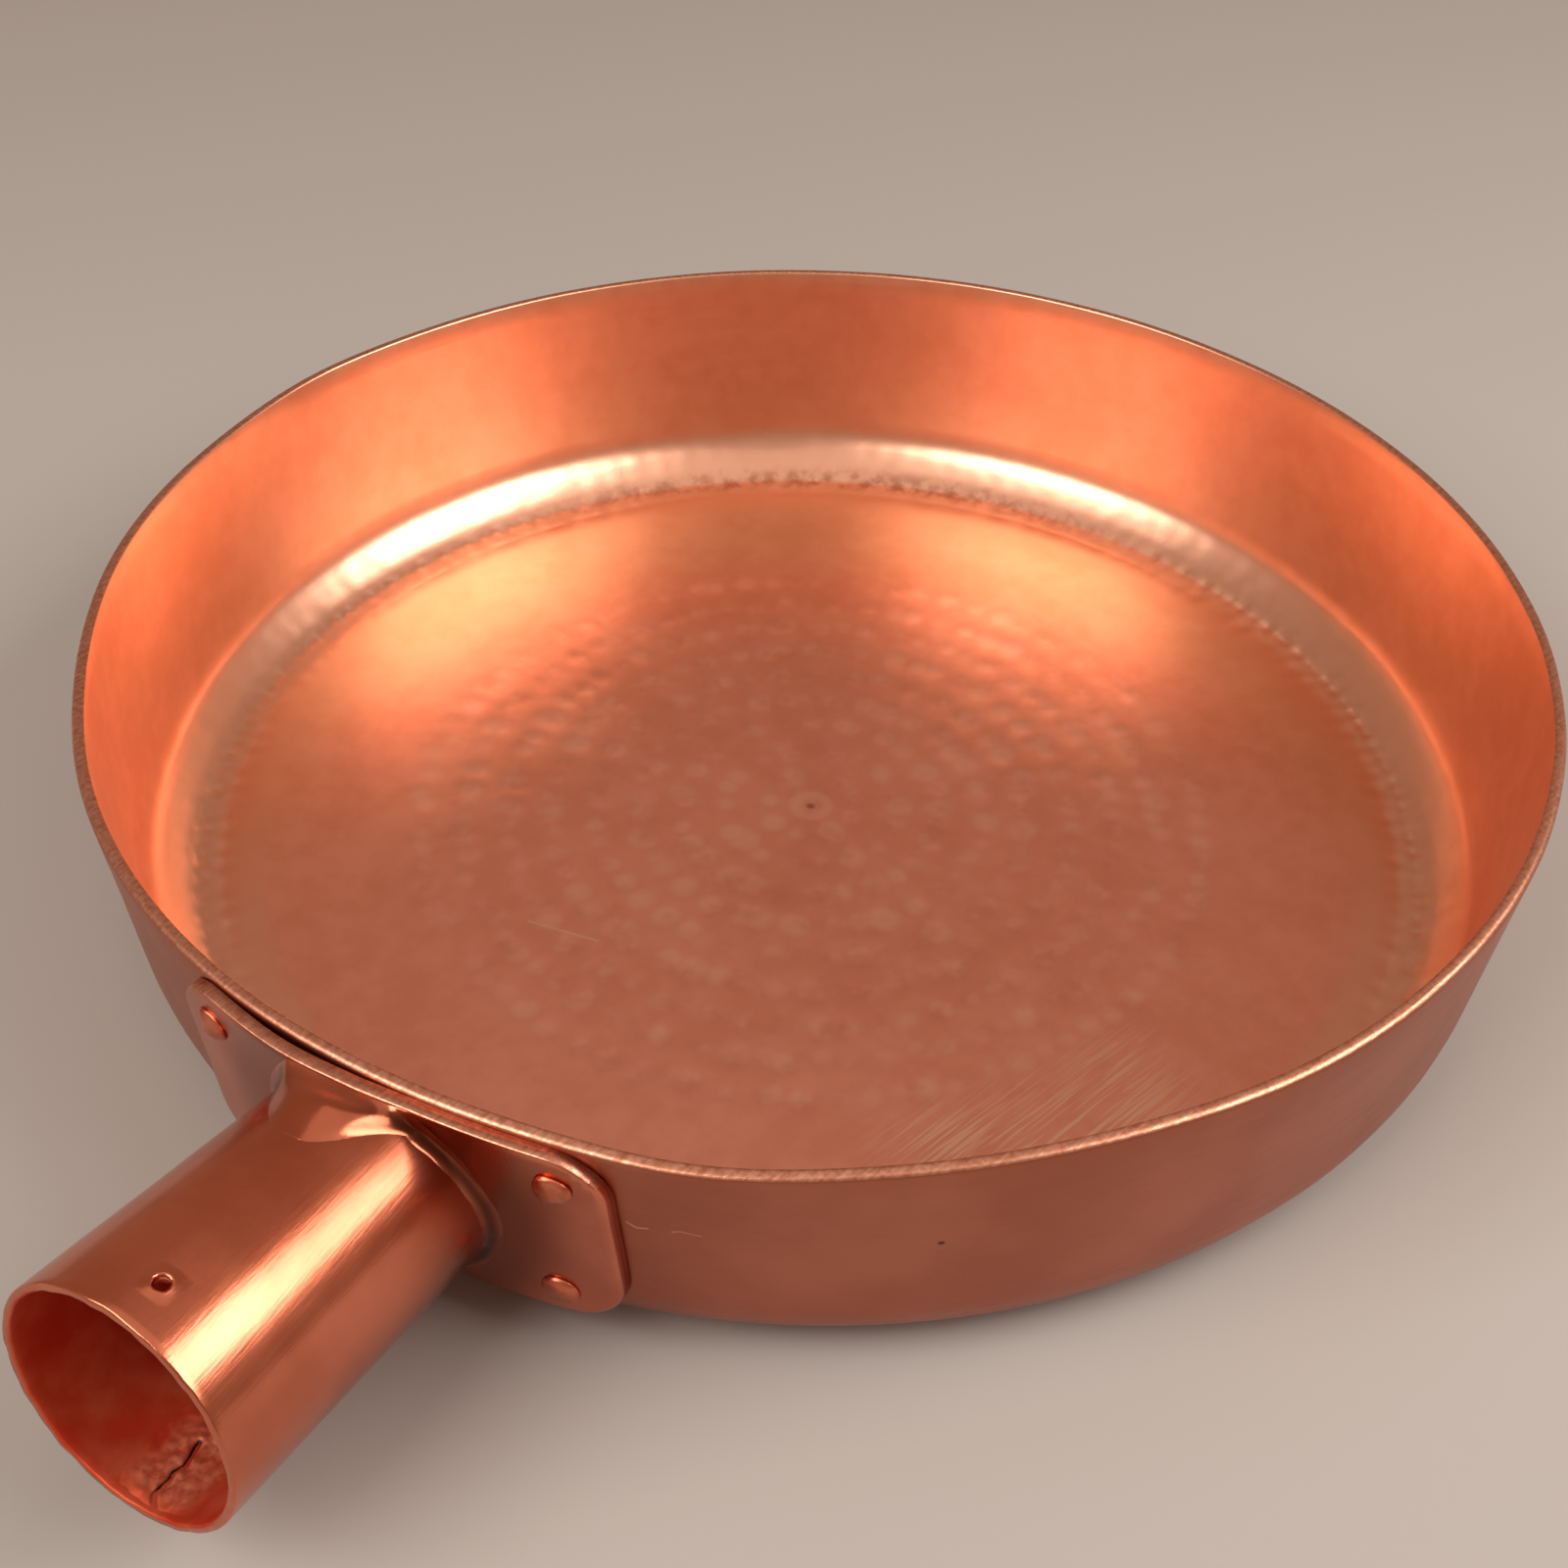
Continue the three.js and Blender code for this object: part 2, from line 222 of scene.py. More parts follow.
# Floor blows stand in rings about the centre mark, closer along a ring than ring to ring.
# They are shallower towards the outermost ring.
hand = random.Random(11)
ring_number = 9
ring_pitch = 0.0083
ring_slip = 0.0007
blow_pitch = 0.0056
blow_slip = 0.3
blow_radii = (0.0030, 0.0048)
blow_depths = (0.00002, 0.00014)
outer_ease = 0.4
centre_dish = (0.0055, 0.00010)
centre_punch = (0.0008, 0.00010)
floor_centre = Vector((0, 0, bowl_sheet))
floor_blows = [(floor_centre, *centre_dish), (floor_centre, *centre_punch)]
for ring in range(1, ring_number + 1):
    ring_radius = ring * ring_pitch
    ring_count = round(math.tau * ring_radius / blow_pitch)
    for number in range(ring_count):
        angle = math.tau * (number + hand.uniform(-blow_slip, blow_slip)) / ring_count + ring
        reach = ring_radius + hand.uniform(-ring_slip, ring_slip)
        place = Vector((reach * math.cos(angle), reach * math.sin(angle), bowl_sheet))
        blow_radius = hand.uniform(*blow_radii)
        blow_depth = hand.uniform(*blow_depths) * (1 - outer_ease * ring / ring_number)
        floor_blows.append((place, blow_radius, blow_depth))

# Corner blows run in rows round the foot of the wall: slope in degrees, pitch, radius and depth.
corner_rows = (
    (-87, 0.0044, 0.0029, 0.00016),
    (-71, 0.0036, 0.0019, 0.00026),
    (-56, 0.0050, 0.0034, 0.00006),
    (-38, 0.0058, 0.0040, 0.00006),
)
row_slip = 0.25
row_height_slip = 0.0005
row_radius_spread = (0.85, 1.15)
row_depth_spread = (0.4, 1.3)
corner_blows = []
for degrees, pitch, radius, depth in corner_rows:
    row_radius, row_height = on_corner(math.radians(degrees))
    row_count = round(math.tau * row_radius / pitch)
    for number in range(row_count):
        angle = math.tau * (number + hand.uniform(-row_slip, row_slip)) / row_count - degrees
        height = row_height + hand.uniform(-row_height_slip, row_height_slip)
        place = Vector((row_radius * math.cos(angle), row_radius * math.sin(angle), height))
        blow_radius = radius * hand.uniform(*row_radius_spread)
        blow_depth = depth * hand.uniform(*row_depth_spread)
        corner_blows.append((place, blow_radius, blow_depth))

floor_facing = 0.9
corner_facing = 0.1
corner_spill = 0.006
inner_floor = [
    vert for vert in bowl_shape.verts
    if vert.normal.z > floor_facing and vert.co.xy.length < struck_floor
]
inner_corner = [
    vert for vert in bowl_shape.verts
    if corner_centre - corner_spill < vert.co.xy.length and vert.co.z < corner_radius
    and vert.normal.xy.dot(vert.co.xy) <= 0 and vert.normal.z > corner_facing
]
strike(bowl_shape, inner_floor, floor_blows)
strike(bowl_shape, inner_corner, corner_blows)

# The wall's sheet is not quite even, and the rim waves.
wall_swell = 0.00012
wall_swell_scale = 45
for vert in bowl_shape.verts:
    if vert.co.z > corner_radius / 2:
        swell = wall_swell * noise.noise(vert.co * wall_swell_scale)
        vert.co.xy *= 1 + swell / vert.co.xy.length
    vert.co = follow_rim(vert.co)


def wire(tree, kind, sockets, **settings):
    """Adds a node, sets it, and feeds its sockets with values or with other nodes' outputs."""
    made = tree.nodes.new("ShaderNode" + kind)
    for name, value in settings.items():
        setattr(made, name, value)
    for name, value in sockets.items():
        if isinstance(value, bpy.types.NodeSocket):
            tree.links.new(value, made.inputs[name])
        else:
            made.inputs[name].default_value = value
    return made.outputs


def sums(tree, operation, first, second=0.0, third=0.0):
    """One sum of two or three numbers."""
    return wire(tree, "Math", {0: first, 1: second, 2: third}, operation=operation)[0]


def times(tree, first, second):
    """The product of two numbers."""
    return sums(tree, "MULTIPLY", first, second)


def mixed(tree, share, first, second):
    """A number that goes from one node's number to another's as share goes from 0 to 1."""
    return wire(tree, "Mix", {0: share, 2: first, 3: second})[0]


def between(tree, share, first, second):
    """A number that goes from first to second as share goes from 0 to 1."""
    return wire(tree, "MapRange", {"Value": share, "To Min": first, "To Max": second})[0]


def rise(tree, value, low, high):
    """Goes smoothly from 0 to 1 as a value goes from low to high."""
    return wire(
        tree, "MapRange", {"Value": value, "From Min": low, "From Max": high},
        interpolation_type="SMOOTHSTEP",
    )[0]


def tints(tree, share, first, second):
    """A colour that goes from first to second as share goes from 0 to 1."""
    return wire(tree, "Mix", {0: share, 6: first, 7: second}, data_type="RGBA")[2]


def flecks(tree, place, scale, detail):
    """Cloudy noise, finer where the scale is larger."""
    return wire(tree, "TexNoise", {"Vector": place, "Scale": scale, "Detail": detail})[0]


def stretched(tree, place, scale):
    """A place scaled along each axis by its own number."""
    return wire(tree, "Mapping", {"Vector": place, "Scale": scale})[0]


def noted(tree, layer):
    """What a layer of the mesh notes."""
    return wire(tree, "Attribute", {}, attribute_name=layer)["Fac"]


def distance_from(tree, place, point):
    """How far a place is from a point."""
    return wire(tree, "VectorMath", {0: place, 1: point}, operation="DISTANCE")["Value"]


def way_from(tree, place, point):
    """The way from a point to a place."""
    return wire(tree, "VectorMath", {0: place, 1: point}, operation="SUBTRACT")[0]


def dot(tree, first, second):
    """The dot product of two vectors."""
    return wire(tree, "VectorMath", {0: first, 1: second}, operation="DOT_PRODUCT")["Value"]


def scratch(tree, place, start, end, width):
    """Is 1 on a straight scratch from start to end and 0 away from it."""
    run = Vector(end) - Vector(start)
    off = way_from(tree, place, start)
    along = wire(tree, "Clamp", {"Value": dot(tree, off, run / run.length_squared)})[0]
    near = wire(tree, "VectorMath", {0: run, "Scale": along}, operation="SCALE")[0]
    return rise(tree, distance_from(tree, off, near), width, width / 3)


def bare_metal(name):
    """A metal finish with nothing on it yet: the material, its nodes, its shader and its coordinates."""
    finish = bpy.data.materials.new(name)
    finish.use_nodes = True
    tree = finish.node_tree
    shader = tree.nodes["Principled BSDF"]
    shader.inputs["Metallic"].default_value = 1.0
    place = tree.nodes.new("ShaderNodeTexCoord").outputs["Object"]
    return finish, tree, shader, place


def coat(tree, shader, colour, roughness, relief, strength, depth):
    """Gives a finish its colour and roughness, and fine relief of a strength and a depth in metres."""
    bump = wire(tree, "Bump", {"Strength": strength, "Distance": depth, "Height": relief})[0]
    tree.links.new(colour, shader.inputs["Base Color"])
    tree.links.new(roughness, shader.inputs["Roughness"])
    tree.links.new(bump, shader.inputs["Normal"])


# The bowl's finish changes up the wall and along the sheet.
# Each pair of lengths says where a change starts and where it is full.
wall_from = (0.012, 0.020)
corner_from = (0.104, 0.110)
corner_to = (0.138, 0.128)
bowl_finish, tree, shader, place = bare_metal("satin bowl copper")
level = wire(tree, "VectorMath", {0: place, 1: (1, 1, 0)}, operation="MULTIPLY")[0]
reach = wire(tree, "VectorMath", {0: level}, operation="LENGTH")["Value"]
heading = wire(tree, "VectorMath", {0: level}, operation="NORMALIZE")[0]
height = wire(tree, "SeparateXYZ", {0: place})["Z"]
along_sheet = sums(tree, "ADD", reach, height)
on_wall = rise(tree, height, *wall_from)
corner_band = times(tree, rise(tree, along_sheet, *corner_from), rise(tree, along_sheet, *corner_to))

# It is worn in clouds, and the floor has a large redder patch a little off the middle.
satin_copper = (0.88, 0.50, 0.34, 1)
dull_copper = (0.81, 0.43, 0.275, 1)
patch_copper = (0.91, 0.40, 0.28, 1)
patch_shade = (0.84, 0.345, 0.23, 1)
patch_middle = (0.0195, 0.0105, bowl_sheet)
patch_edge = (0.116, 0.090)
patch_top = (0.016, 0.008)
clouds = flecks(tree, place, 38.0, 5.0)
mottle = flecks(tree, place, 190.0, 4.0)
wear = sums(tree, "MULTIPLY_ADD", mottle, 0.5, times(tree, clouds, 0.5))
rubbed = rise(tree, wear, 0.36, 0.64)
worn = tints(tree, rubbed, dull_copper, satin_copper)
patch_worn = tints(tree, rubbed, patch_shade, patch_copper)
patch_away = distance_from(tree, place, patch_middle)
on_patch = times(tree, rise(tree, patch_away, *patch_edge), rise(tree, height, *patch_top))
plain = tints(tree, on_patch, worn, patch_worn)

# The blows are brighter than the metal between them, and so is the corner.
struck_copper = (1.0, 0.52, 0.39, 1)
struck_share = 0.9
corner_copper = (0.89, 0.47, 0.325, 1)
corner_share = 0.7
struck = noted(tree, "struck")
blows_shown = times(tree, rise(tree, struck, 0.02, 0.75), rise(tree, wear, 0.36, 0.60))
hammered = tints(tree, times(tree, blows_shown, struck_share), plain, struck_copper)
copper = tints(tree, times(tree, corner_band, corner_share), hammered, corner_copper)

# The mark that the compass left in the middle of the floor is dark, with a bright ring round it.
mark_copper = (0.40, 0.14, 0.085, 1)
mark_edge = (0.0012, 0.0004)
mark_share = 0.8
mark_ring_from = (0.0014, 0.0028)
mark_ring_to = (0.0050, 0.0034)
mark_ring_share = 0.6
mark_ring = times(tree, rise(tree, reach, *mark_ring_from), rise(tree, reach, *mark_ring_to))
ringed = tints(tree, times(tree, mark_ring, mark_ring_share), copper, struck_copper)
copper = tints(tree, times(tree, rise(tree, reach, *mark_edge), mark_share), ringed, mark_copper)

# A dotted dark line of painted shade runs along the crease at the foot of the corner, in the small blows
# there, darkest across from the socket.
crease_shade_copper = (0.50, 0.205, 0.125, 1)
crease_shade_from = (0.1135, 0.1170)
crease_shade_to = (0.1245, 0.1185)
crease_shade_azimuth = math.radians(206)
crease_shade_facing = (0.78, 0.98)
crease_shade_least = 0.14
crease_shade_most = 0.8
crease_shade_dots = flecks(tree, place, 330.0, 3.0)
crease_shade_line = times(tree, rise(tree, along_sheet, *crease_shade_from), rise(tree, along_sheet, *crease_shade_to))
crease_shade = times(tree, crease_shade_line, rise(tree, crease_shade_dots, 0.38, 0.68))
facing_crease_shade = dot(tree, heading, (math.cos(crease_shade_azimuth), math.sin(crease_shade_azimuth), 0))
crease_shade_share = between(tree, rise(tree, facing_crease_shade, *crease_shade_facing), crease_shade_least, crease_shade_most)
# The painted shade in the crease is mixed into the bowl's colour here.
copper = tints(tree, times(tree, crease_shade, crease_shade_share), copper, crease_shade_copper)

# A file slipped inside the front of the rim. It left a hatch of strokes on the floor and one scratch.
file_heading = math.radians(-17)
stroke_size = (0.016, 0.0005, 0.016)
hatch_copper = (0.97, 0.62, 0.47, 1)
hatch_middle = (0.048, 0.068, 0.002)
hatch_edge = (0.034, 0.016)
hatch_from = (0.072, 0.086)
hatch_share = 0.7
slip_start = (0.0541, -0.0281, bowl_sheet)
slip_end = (0.0520, -0.0147, bowl_sheet)
slip_width = 0.0004
slip_share = 0.5


def file_strokes(tree, place):
    """Thin straight strokes of noise along the way the file went."""
    strokes_place = wire(
        tree, "Mapping", {"Vector": place, "Rotation": (0, 0, file_heading), "Scale": stroke_size},
        vector_type="TEXTURE",
    )[0]
    return flecks(tree, strokes_place, 1.0, 2.0)


hatch_away = distance_from(tree, place, hatch_middle)
hatch_there = times(tree, rise(tree, hatch_away, *hatch_edge), rise(tree, reach, *hatch_from))
hatch = times(tree, hatch_there, rise(tree, file_strokes(tree, place), 0.50, 0.62))
slip = scratch(tree, place, slip_start, slip_end, slip_width)
filed_away = sums(tree, "MAXIMUM", times(tree, hatch, hatch_share), times(tree, slip, slip_share))

# Brush strokes run round the wall, and the floor and corner are finely specked.
brush_round = 6
brush_up = 1500.0
brush_rise = wire(tree, "CombineXYZ", {"Z": times(tree, height, brush_up)})[0]
brush_run = wire(
    tree, "VectorMath", {0: heading, 1: (brush_round, brush_round, 0), 2: brush_rise},
    operation="MULTIPLY_ADD",
)[0]
brushing = flecks(tree, brush_run, 1.0, 3.0)
specks = flecks(tree, place, 900.0, 2.0)
floor_roughness = between(tree, struck, 0.33, 0.285)
wall_roughness = between(tree, brushing, 0.285, 0.36)
corner_roughness = between(tree, specks, 0.28, 0.31)
satin_roughness = mixed(tree, on_wall, floor_roughness, wall_roughness)
coat(
    tree, shader,
    colour=tints(tree, filed_away, copper, hatch_copper),
    roughness=mixed(tree, corner_band, satin_roughness, corner_roughness),
    relief=mixed(tree, on_wall, specks, brushing), strength=0.2, depth=0.00005,
)

# The cut edges are filed, with bright strokes and grit between them.
filed_copper = (0.77, 0.39, 0.275, 1)
filed_shade = (0.47, 0.17, 0.097, 1)
grit_share = 0.6
filed_finish, tree, shader, place = bare_metal("filed copper edge")
grit = flecks(tree, place, 1100.0, 3.0)
strokes = mixed(tree, grit_share, file_strokes(tree, place), grit)
coat(
    tree, shader,
    colour=tints(tree, rise(tree, strokes, 0.28, 0.72), filed_shade, filed_copper),
    roughness=between(tree, strokes, 0.46, 0.3),
    relief=strokes, strength=0.3, depth=0.0002,
)

# The outside is duller and darker, partly tarnish and partly painted shade, cloudy, and wiped round.
tarnished_shaded_copper = (0.51, 0.17, 0.10, 1)
tarnished_shaded_dark = (0.42, 0.127, 0.071, 1)
wiped_scale = (90, 90, 1300)
outer_finish, tree, shader, place = bare_metal("dull tarnished and shaded outer copper")
dullness = flecks(tree, place, 32.0, 5.0)
wiped = flecks(tree, stretched(tree, place, wiped_scale), 1.0, 3.0)
tarnished_and_shaded = tints(tree, rise(tree, dullness, 0.35, 0.7), tarnished_shaded_dark, tarnished_shaded_copper)


def on_wall_at(azimuth, height):
    """A place on the wall's outer face, from an azimuth in degrees and a height."""
    turn = math.radians(azimuth)
    return Vector((wall_radius(height) * math.cos(turn), wall_radius(height) * math.sin(turn), height))


# Crooked scratches beside the flange and a pit further round: azimuth in degrees and height
crooked = (
    ((17.3, 0.0333), (17.9, 0.0323), (18.6, 0.0326)),
    ((20.2, 0.0328), (20.7, 0.0333), (21.1, 0.0331), (22.0, 0.0327)),
)
scratch_copper = (0.86, 0.44, 0.31, 1)
scratch_width = 0.0004
scratch_share = 0.7
pit_start = (37.0, 0.0314)
pit_end = (37.1, 0.0314)
pit_copper = (0.10, 0.04, 0.025, 1)
pit_width = 0.0006
marks = 0.0
for turns in crooked:
    for first, last in zip(turns, turns[1:]):
        mark = scratch(tree, place, on_wall_at(*first), on_wall_at(*last), scratch_width)
        marks = sums(tree, "MAXIMUM", mark, marks)
scratched = tints(tree, times(tree, marks, scratch_share), tarnished_and_shaded, scratch_copper)
pit = scratch(tree, place, on_wall_at(*pit_start), on_wall_at(*pit_end), pit_width)
coat(
    tree, shader,
    colour=tints(tree, pit, scratched, pit_copper),
    roughness=between(tree, wiped, 0.3, 0.46),
    relief=wiped, strength=0.15, depth=0.00005,
)

bowl = finished("pan_bowl", bowl_shape, bowl_finish, filed_finish, outer_finish)
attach(bowl, "root")
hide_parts("pan_body")


# Mounting flange: a round-cornered plate of sheet copper, bent to the wall, that carries the socket.
# It is cut by hand and riveted on through both ears. Its top edge is filed bright, and beside the
# socket the plate stands a little off the wall.
flange_low, flange_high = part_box("mounting_flange")
flange_sheet = 0.0022
flange_corner = 0.0085
flange_rounding = 0.0004
flange_grid = 0.0015
fit_gap = 0.0003
flange_face = fit_gap + flange_sheet
flange_middle = (flange_low.z + flange_high.z) / 2
half_wide = (flange_high.y - flange_low.y) / 2
half_tall = (flange_high.z - flange_low.z) / 2

plate = bmesh.new()
bmesh.ops.create_grid(plate, x_segments=1, y_segments=1, size=1.0)
upright = Matrix(((0, 0, 1, 0), (half_wide, 0, 0, 0), (0, half_tall, 0, flange_middle), (0, 0, 0, 1)))
bmesh.ops.transform(plate, matrix=upright, verts=plate.verts)
bmesh.ops.bevel(
    plate, geom=plate.verts[:], offset=flange_corner, affect="VERTICES",
    segments=9, profile=0.5, material=-1,
)
for axis, half, middle in ((1, half_wide, 0.0), (2, half_tall, flange_middle)):
    cuts = round(2 * half / flange_grid)
    for number in range(1, cuts):
        at = Vector((0, 0, 0))
        at[axis] = middle - half + 2 * half * number / cuts
        facing = Vector((0, 0, 0))
        facing[axis] = 1.0
        whole = plate.verts[:] + plate.edges[:] + plate.faces[:]
        bmesh.ops.bisect_plane(plate, geom=whole, plane_co=at, plane_no=facing)
bmesh.ops.solidify(plate, geom=plate.faces[:], thickness=flange_sheet)
bmesh.ops.recalc_face_normals(plate, faces=plate.faces)
plate_back = min(vert.co.x for vert in plate.verts)
plate_front = max(vert.co.x for vert in plate.verts)
sharp_angle = math.radians(60)
hair = 1e-5
front_edges = [
    edge for edge in plate.edges
    if edge.calc_face_angle(0.0) > sharp_angle
    and min(vert.co.x for vert in edge.verts) > plate_front - hair
]
bmesh.ops.bevel(
    plate, geom=front_edges, offset=flange_rounding, affect="EDGES",
    segments=2, profile=0.5, material=-1,
)
top_rise = 0.0008
top_rise_left = 0.0004
top_rise_depth = 0.012
stand_off = 0.0007
stand_off_middle = -0.014
stand_off_spread = 0.011
stand_off_depth = 0.012


def on_flange(across, height, outside):
    """A point of the flange's plate, so far outside the wall it is bent to.
    Its top edge was filed nearly level with the rim, and left of the socket it stands off the wall."""
    below_top = flange_high.z - height
    near_top = max(0.0, 1 - below_top / top_rise_depth) ** 2
    raised = height + (top_rise - top_rise_left * across / half_wide) * near_top
    lifted = math.exp(-(((across - stand_off_middle) / stand_off_spread) ** 2))
    lifted *= max(0.0, 1 - below_top / stand_off_depth) ** 2
    pressed = fit_gap * near_top * min(1.0, max(0.0, across / flange_corner))
    radius = wall_radius(raised, outside + stand_off * lifted - pressed)
    return follow_rim(Vector((math.sqrt(radius ** 2 - across ** 2), across, raised)))


plate_waver = 0.00010
plate_waver_scale = 90
for vert in plate.verts:
    through = fit_gap + vert.co.x - plate_back
    waver = plate_waver * noise.noise(vert.co * plate_waver_scale)
    across = vert.co.y + waver
    height = vert.co.z + waver
    vert.co = on_flange(across, height, through + waver * (through > flange_sheet))
plate.normal_update()

# The top edge has the second finish, the filed one.
top_facing = 0.5
for face in plate.faces:
    face.material_index = int(face.normal.z > top_facing)

# The fitting is polished sheet, blotched, with fine scratches along the way the socket points.
fitting_copper = (0.71, 0.225, 0.13, 1)
fitting_shade = (0.58, 0.165, 0.09, 1)
rub_scale = (45, 2400, 2400)
fitting_finish, tree, shader, place = bare_metal("scratched fitting copper")
blotches = flecks(tree, place, 70.0, 5.0)
scratches = flecks(tree, stretched(tree, place, rub_scale), 1.0, 3.0)
coat(
    tree, shader,
    colour=tints(tree, rise(tree, blotches, 0.3, 0.7), fitting_shade, fitting_copper),
    roughness=between(tree, scratches, 0.19, 0.265),
    relief=scratches, strength=0.35, depth=0.00005,
)


def another(finish, name):
    """A copy of a finish, to change further: the material, its nodes, its shader and its coordinates."""
    made = finish.copy()
    made.name = name
    tree = made.node_tree
    shader = tree.nodes["Principled BSDF"]
    places = next(node for node in tree.nodes if node.bl_idname == "ShaderNodeTexCoord")
    return made, tree, shader, places.outputs["Object"]


def feed_of(shader, name):
    """The output that feeds a socket of a shader so far."""
    return shader.inputs[name].links[0].from_socket


# The flange has the same finish, darker round the joint: heat tint from the brazing, and painted shade
# beside the socket.
heat_tint_and_shade = (0.36, 0.095, 0.05, 1)
heat_and_shade_edge = (0.035, 0.024)
flange_finish, tree, shader, place = another(fitting_finish, "heat-tinted and shaded flange copper")
joint_away = distance_from(tree, place, (flange_high.x, 0, flange_middle))
joint_heat_and_shade = tints(tree, rise(tree, joint_away, *heat_and_shade_edge), feed_of(shader, "Base Color"), heat_tint_and_shade)
tree.links.new(joint_heat_and_shade, shader.inputs["Base Color"])

flange = finished("riveted_flange", plate, flange_finish, filed_finish)
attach(flange, "root")
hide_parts("mounting_flange")


# Handle socket: a tube rolled from sheet copper, a little wider at the mouth, that takes a wooden grip.
# Its foot is cut to the flange's face and brazed there. A nail hole is punched near the mouth, which
# leaves a raised lip, and the inside is red with scale from the brazing.
socket_length = 0.0515
socket_mouth = 0.0202
socket_foot = 0.0186
socket_sheet = 0.0014
socket_rise = math.radians(5.8)
socket_turn = math.radians(-1.8)
socket_rounding = 0.0004
socket_steps = 128
foot_tries = 8

foot_place = Vector((wall_radius(flange_middle, flange_face), 0, flange_middle))
socket_frame = (
    Matrix.Translation(foot_place)
    @ Matrix.Rotation(socket_turn, 4, "Z")
    @ Matrix.Rotation(-socket_rise, 4, "Y")
)


def socket_radius(along):
    """Outside radius of the tube, so far along its axis from the flange's face."""
    return socket_foot + (socket_mouth - socket_foot) * along / socket_length


def foot_on_flange(across, up, outside=0.0):
    """How far along the axis a line of the tube meets the flange's face."""
    along = 0.0
    for step in range(foot_tries):
        point = socket_frame @ Vector((along, across, up))
        along -= point.xy.length - wall_radius(point.z, flange_face + outside)
    return along


nail_setback = 0.0072
nail_along = socket_length - nail_setback
cells_to_nail = 44
cells_to_mouth = 7
lip_start = socket_length - socket_rounding
lip_out = socket_radius(socket_length) - socket_rounding
lip_in = socket_radius(socket_length) - socket_sheet + socket_rounding
skin_out = [
    (socket_foot, 0.0), (socket_radius(nail_along), nail_along), (socket_radius(lip_start), lip_start),
]
skin_in = [(radius - socket_sheet, along) for radius, along in reversed(skin_out)]
socket_outline = (
    line(skin_out[0], skin_out[1], cells_to_nail)
    + line(skin_out[1], skin_out[2], cells_to_mouth)
    + arc((lip_out, lip_start), socket_rounding, 0, math.pi / 2, 3)
    + arc((lip_in, lip_start), socket_rounding, math.pi / 2, math.pi, 3)
    + line(skin_in[0], skin_in[1], cells_to_mouth)
    + line(skin_in[1], skin_in[2], cells_to_nail)
    + line(skin_in[2], skin_out[0], 1)
    + [Vector(skin_out[0])]
)
tube = spun(socket_outline, "X", socket_steps)

# The nail hole: a block of faces on each skin becomes a round hole, the outer one with a raised lip.
# The lip is made in steps: how far in from the last one, and how far up.
nail_turn = math.radians(10)
nail_radius = 0.0012
nail_lip = 0.0021
nail_lip_steps = ((0.0004, 0.00022), (0.0003, 0.00004), (0.0002, -0.0005))
nail_ragged = 0.07
nail_ragged_scale = 900
cell = nail_along / cells_to_nail
hole_edges = []
for outside in (True, False):
    wanted = socket_radius(nail_along) - (0.0 if outside else socket_sheet)
    block = []
    for face in tube.faces:
        middle = face.calc_center_median()
        near = abs(middle.x - nail_along) < 2 * cell and abs(middle.y) < 2 * cell and middle.z > 0
        if near and abs(middle.yz.length - wanted) < socket_sheet / 3:
            block.append(face)
    hole = bmesh.ops.dissolve_faces(tube, faces=block, use_verts=True)["region"][0]
    for vert in hole.verts:
        spoke = Vector((vert.co.x - nail_along, vert.co.y)).normalized()
        spoke *= nail_lip if outside else nail_radius
        spoke *= 1 + nail_ragged * noise.noise(vert.co * nail_ragged_scale)
        vert.co = (nail_along + spoke.x, spoke.y, math.sqrt(vert.co.yz.length ** 2 - spoke.y ** 2))
    if outside:
        for thickness, depth in nail_lip_steps:
            hole.normal_update()
            bmesh.ops.inset_region(tube, faces=[hole], thickness=thickness, depth=depth)
    hole_edges += hole.edges[:]
    bmesh.ops.delete(tube, geom=[hole], context="FACES_ONLY")
bmesh.ops.bridge_loops(tube, edges=hole_edges)
bmesh.ops.rotate(tube, verts=tube.verts, cent=(0, 0, 0), matrix=Matrix.Rotation(-nail_turn, 3, "X"))

# The foot is drawn to the flange's face, the lip is nicked and the tube is a little out of round.
foot_fade = 0.6 * socket_length
nick_height = 0.00022
nick_reach = 0.002
nick_scale = 420
tube_waver = 0.0001
tube_waver_scale = 60
for vert in tube.verts:
    along, across, up = vert.co
    draw = foot_on_flange(across, up) * max(0.0, 1 - along / foot_fade)
    nicked = max(0.0, 1 - (socket_length - along) / nick_reach)
    nick = nick_height * nicked * noise.noise(Vector((across, up, 0)) * nick_scale)
    widened = socket_radius(along + draw) - socket_radius(along)
    waver = tube_waver * min(1.0, along / foot_fade) * noise.noise(vert.co * tube_waver_scale)
    grown = 1 + (widened + waver) / vert.co.yz.length
    vert.co = socket_frame @ Vector((along + draw + nick, across * grown, up * grown))
bmesh.ops.recalc_face_normals(tube, faces=tube.faces)

# The tube's inside has the second finish, the scaled one.
skin_share = 0.8
for face in tube.faces:
    middle = socket_frame.inverted() @ face.calc_center_median()
    face.material_index = int(middle.yz.length < socket_radius(middle.x) - socket_sheet * skin_share)

scale_red = (0.55, 0.042, 0.012, 1)
scale_orange = (0.66, 0.13, 0.055, 1)
scale_metallic = 0.6
scale_finish, tree, shader, place = bare_metal("scaled socket inside")
shader.inputs["Metallic"].default_value = scale_metallic
patches = flecks(tree, place, 130.0, 6.0)
coat(
    tree, shader,
    colour=tints(tree, rise(tree, patches, 0.35, 0.75), scale_red, scale_orange),
    roughness=between(tree, patches, 0.65, 0.45),
    relief=patches, strength=0.5, depth=0.0003,
)
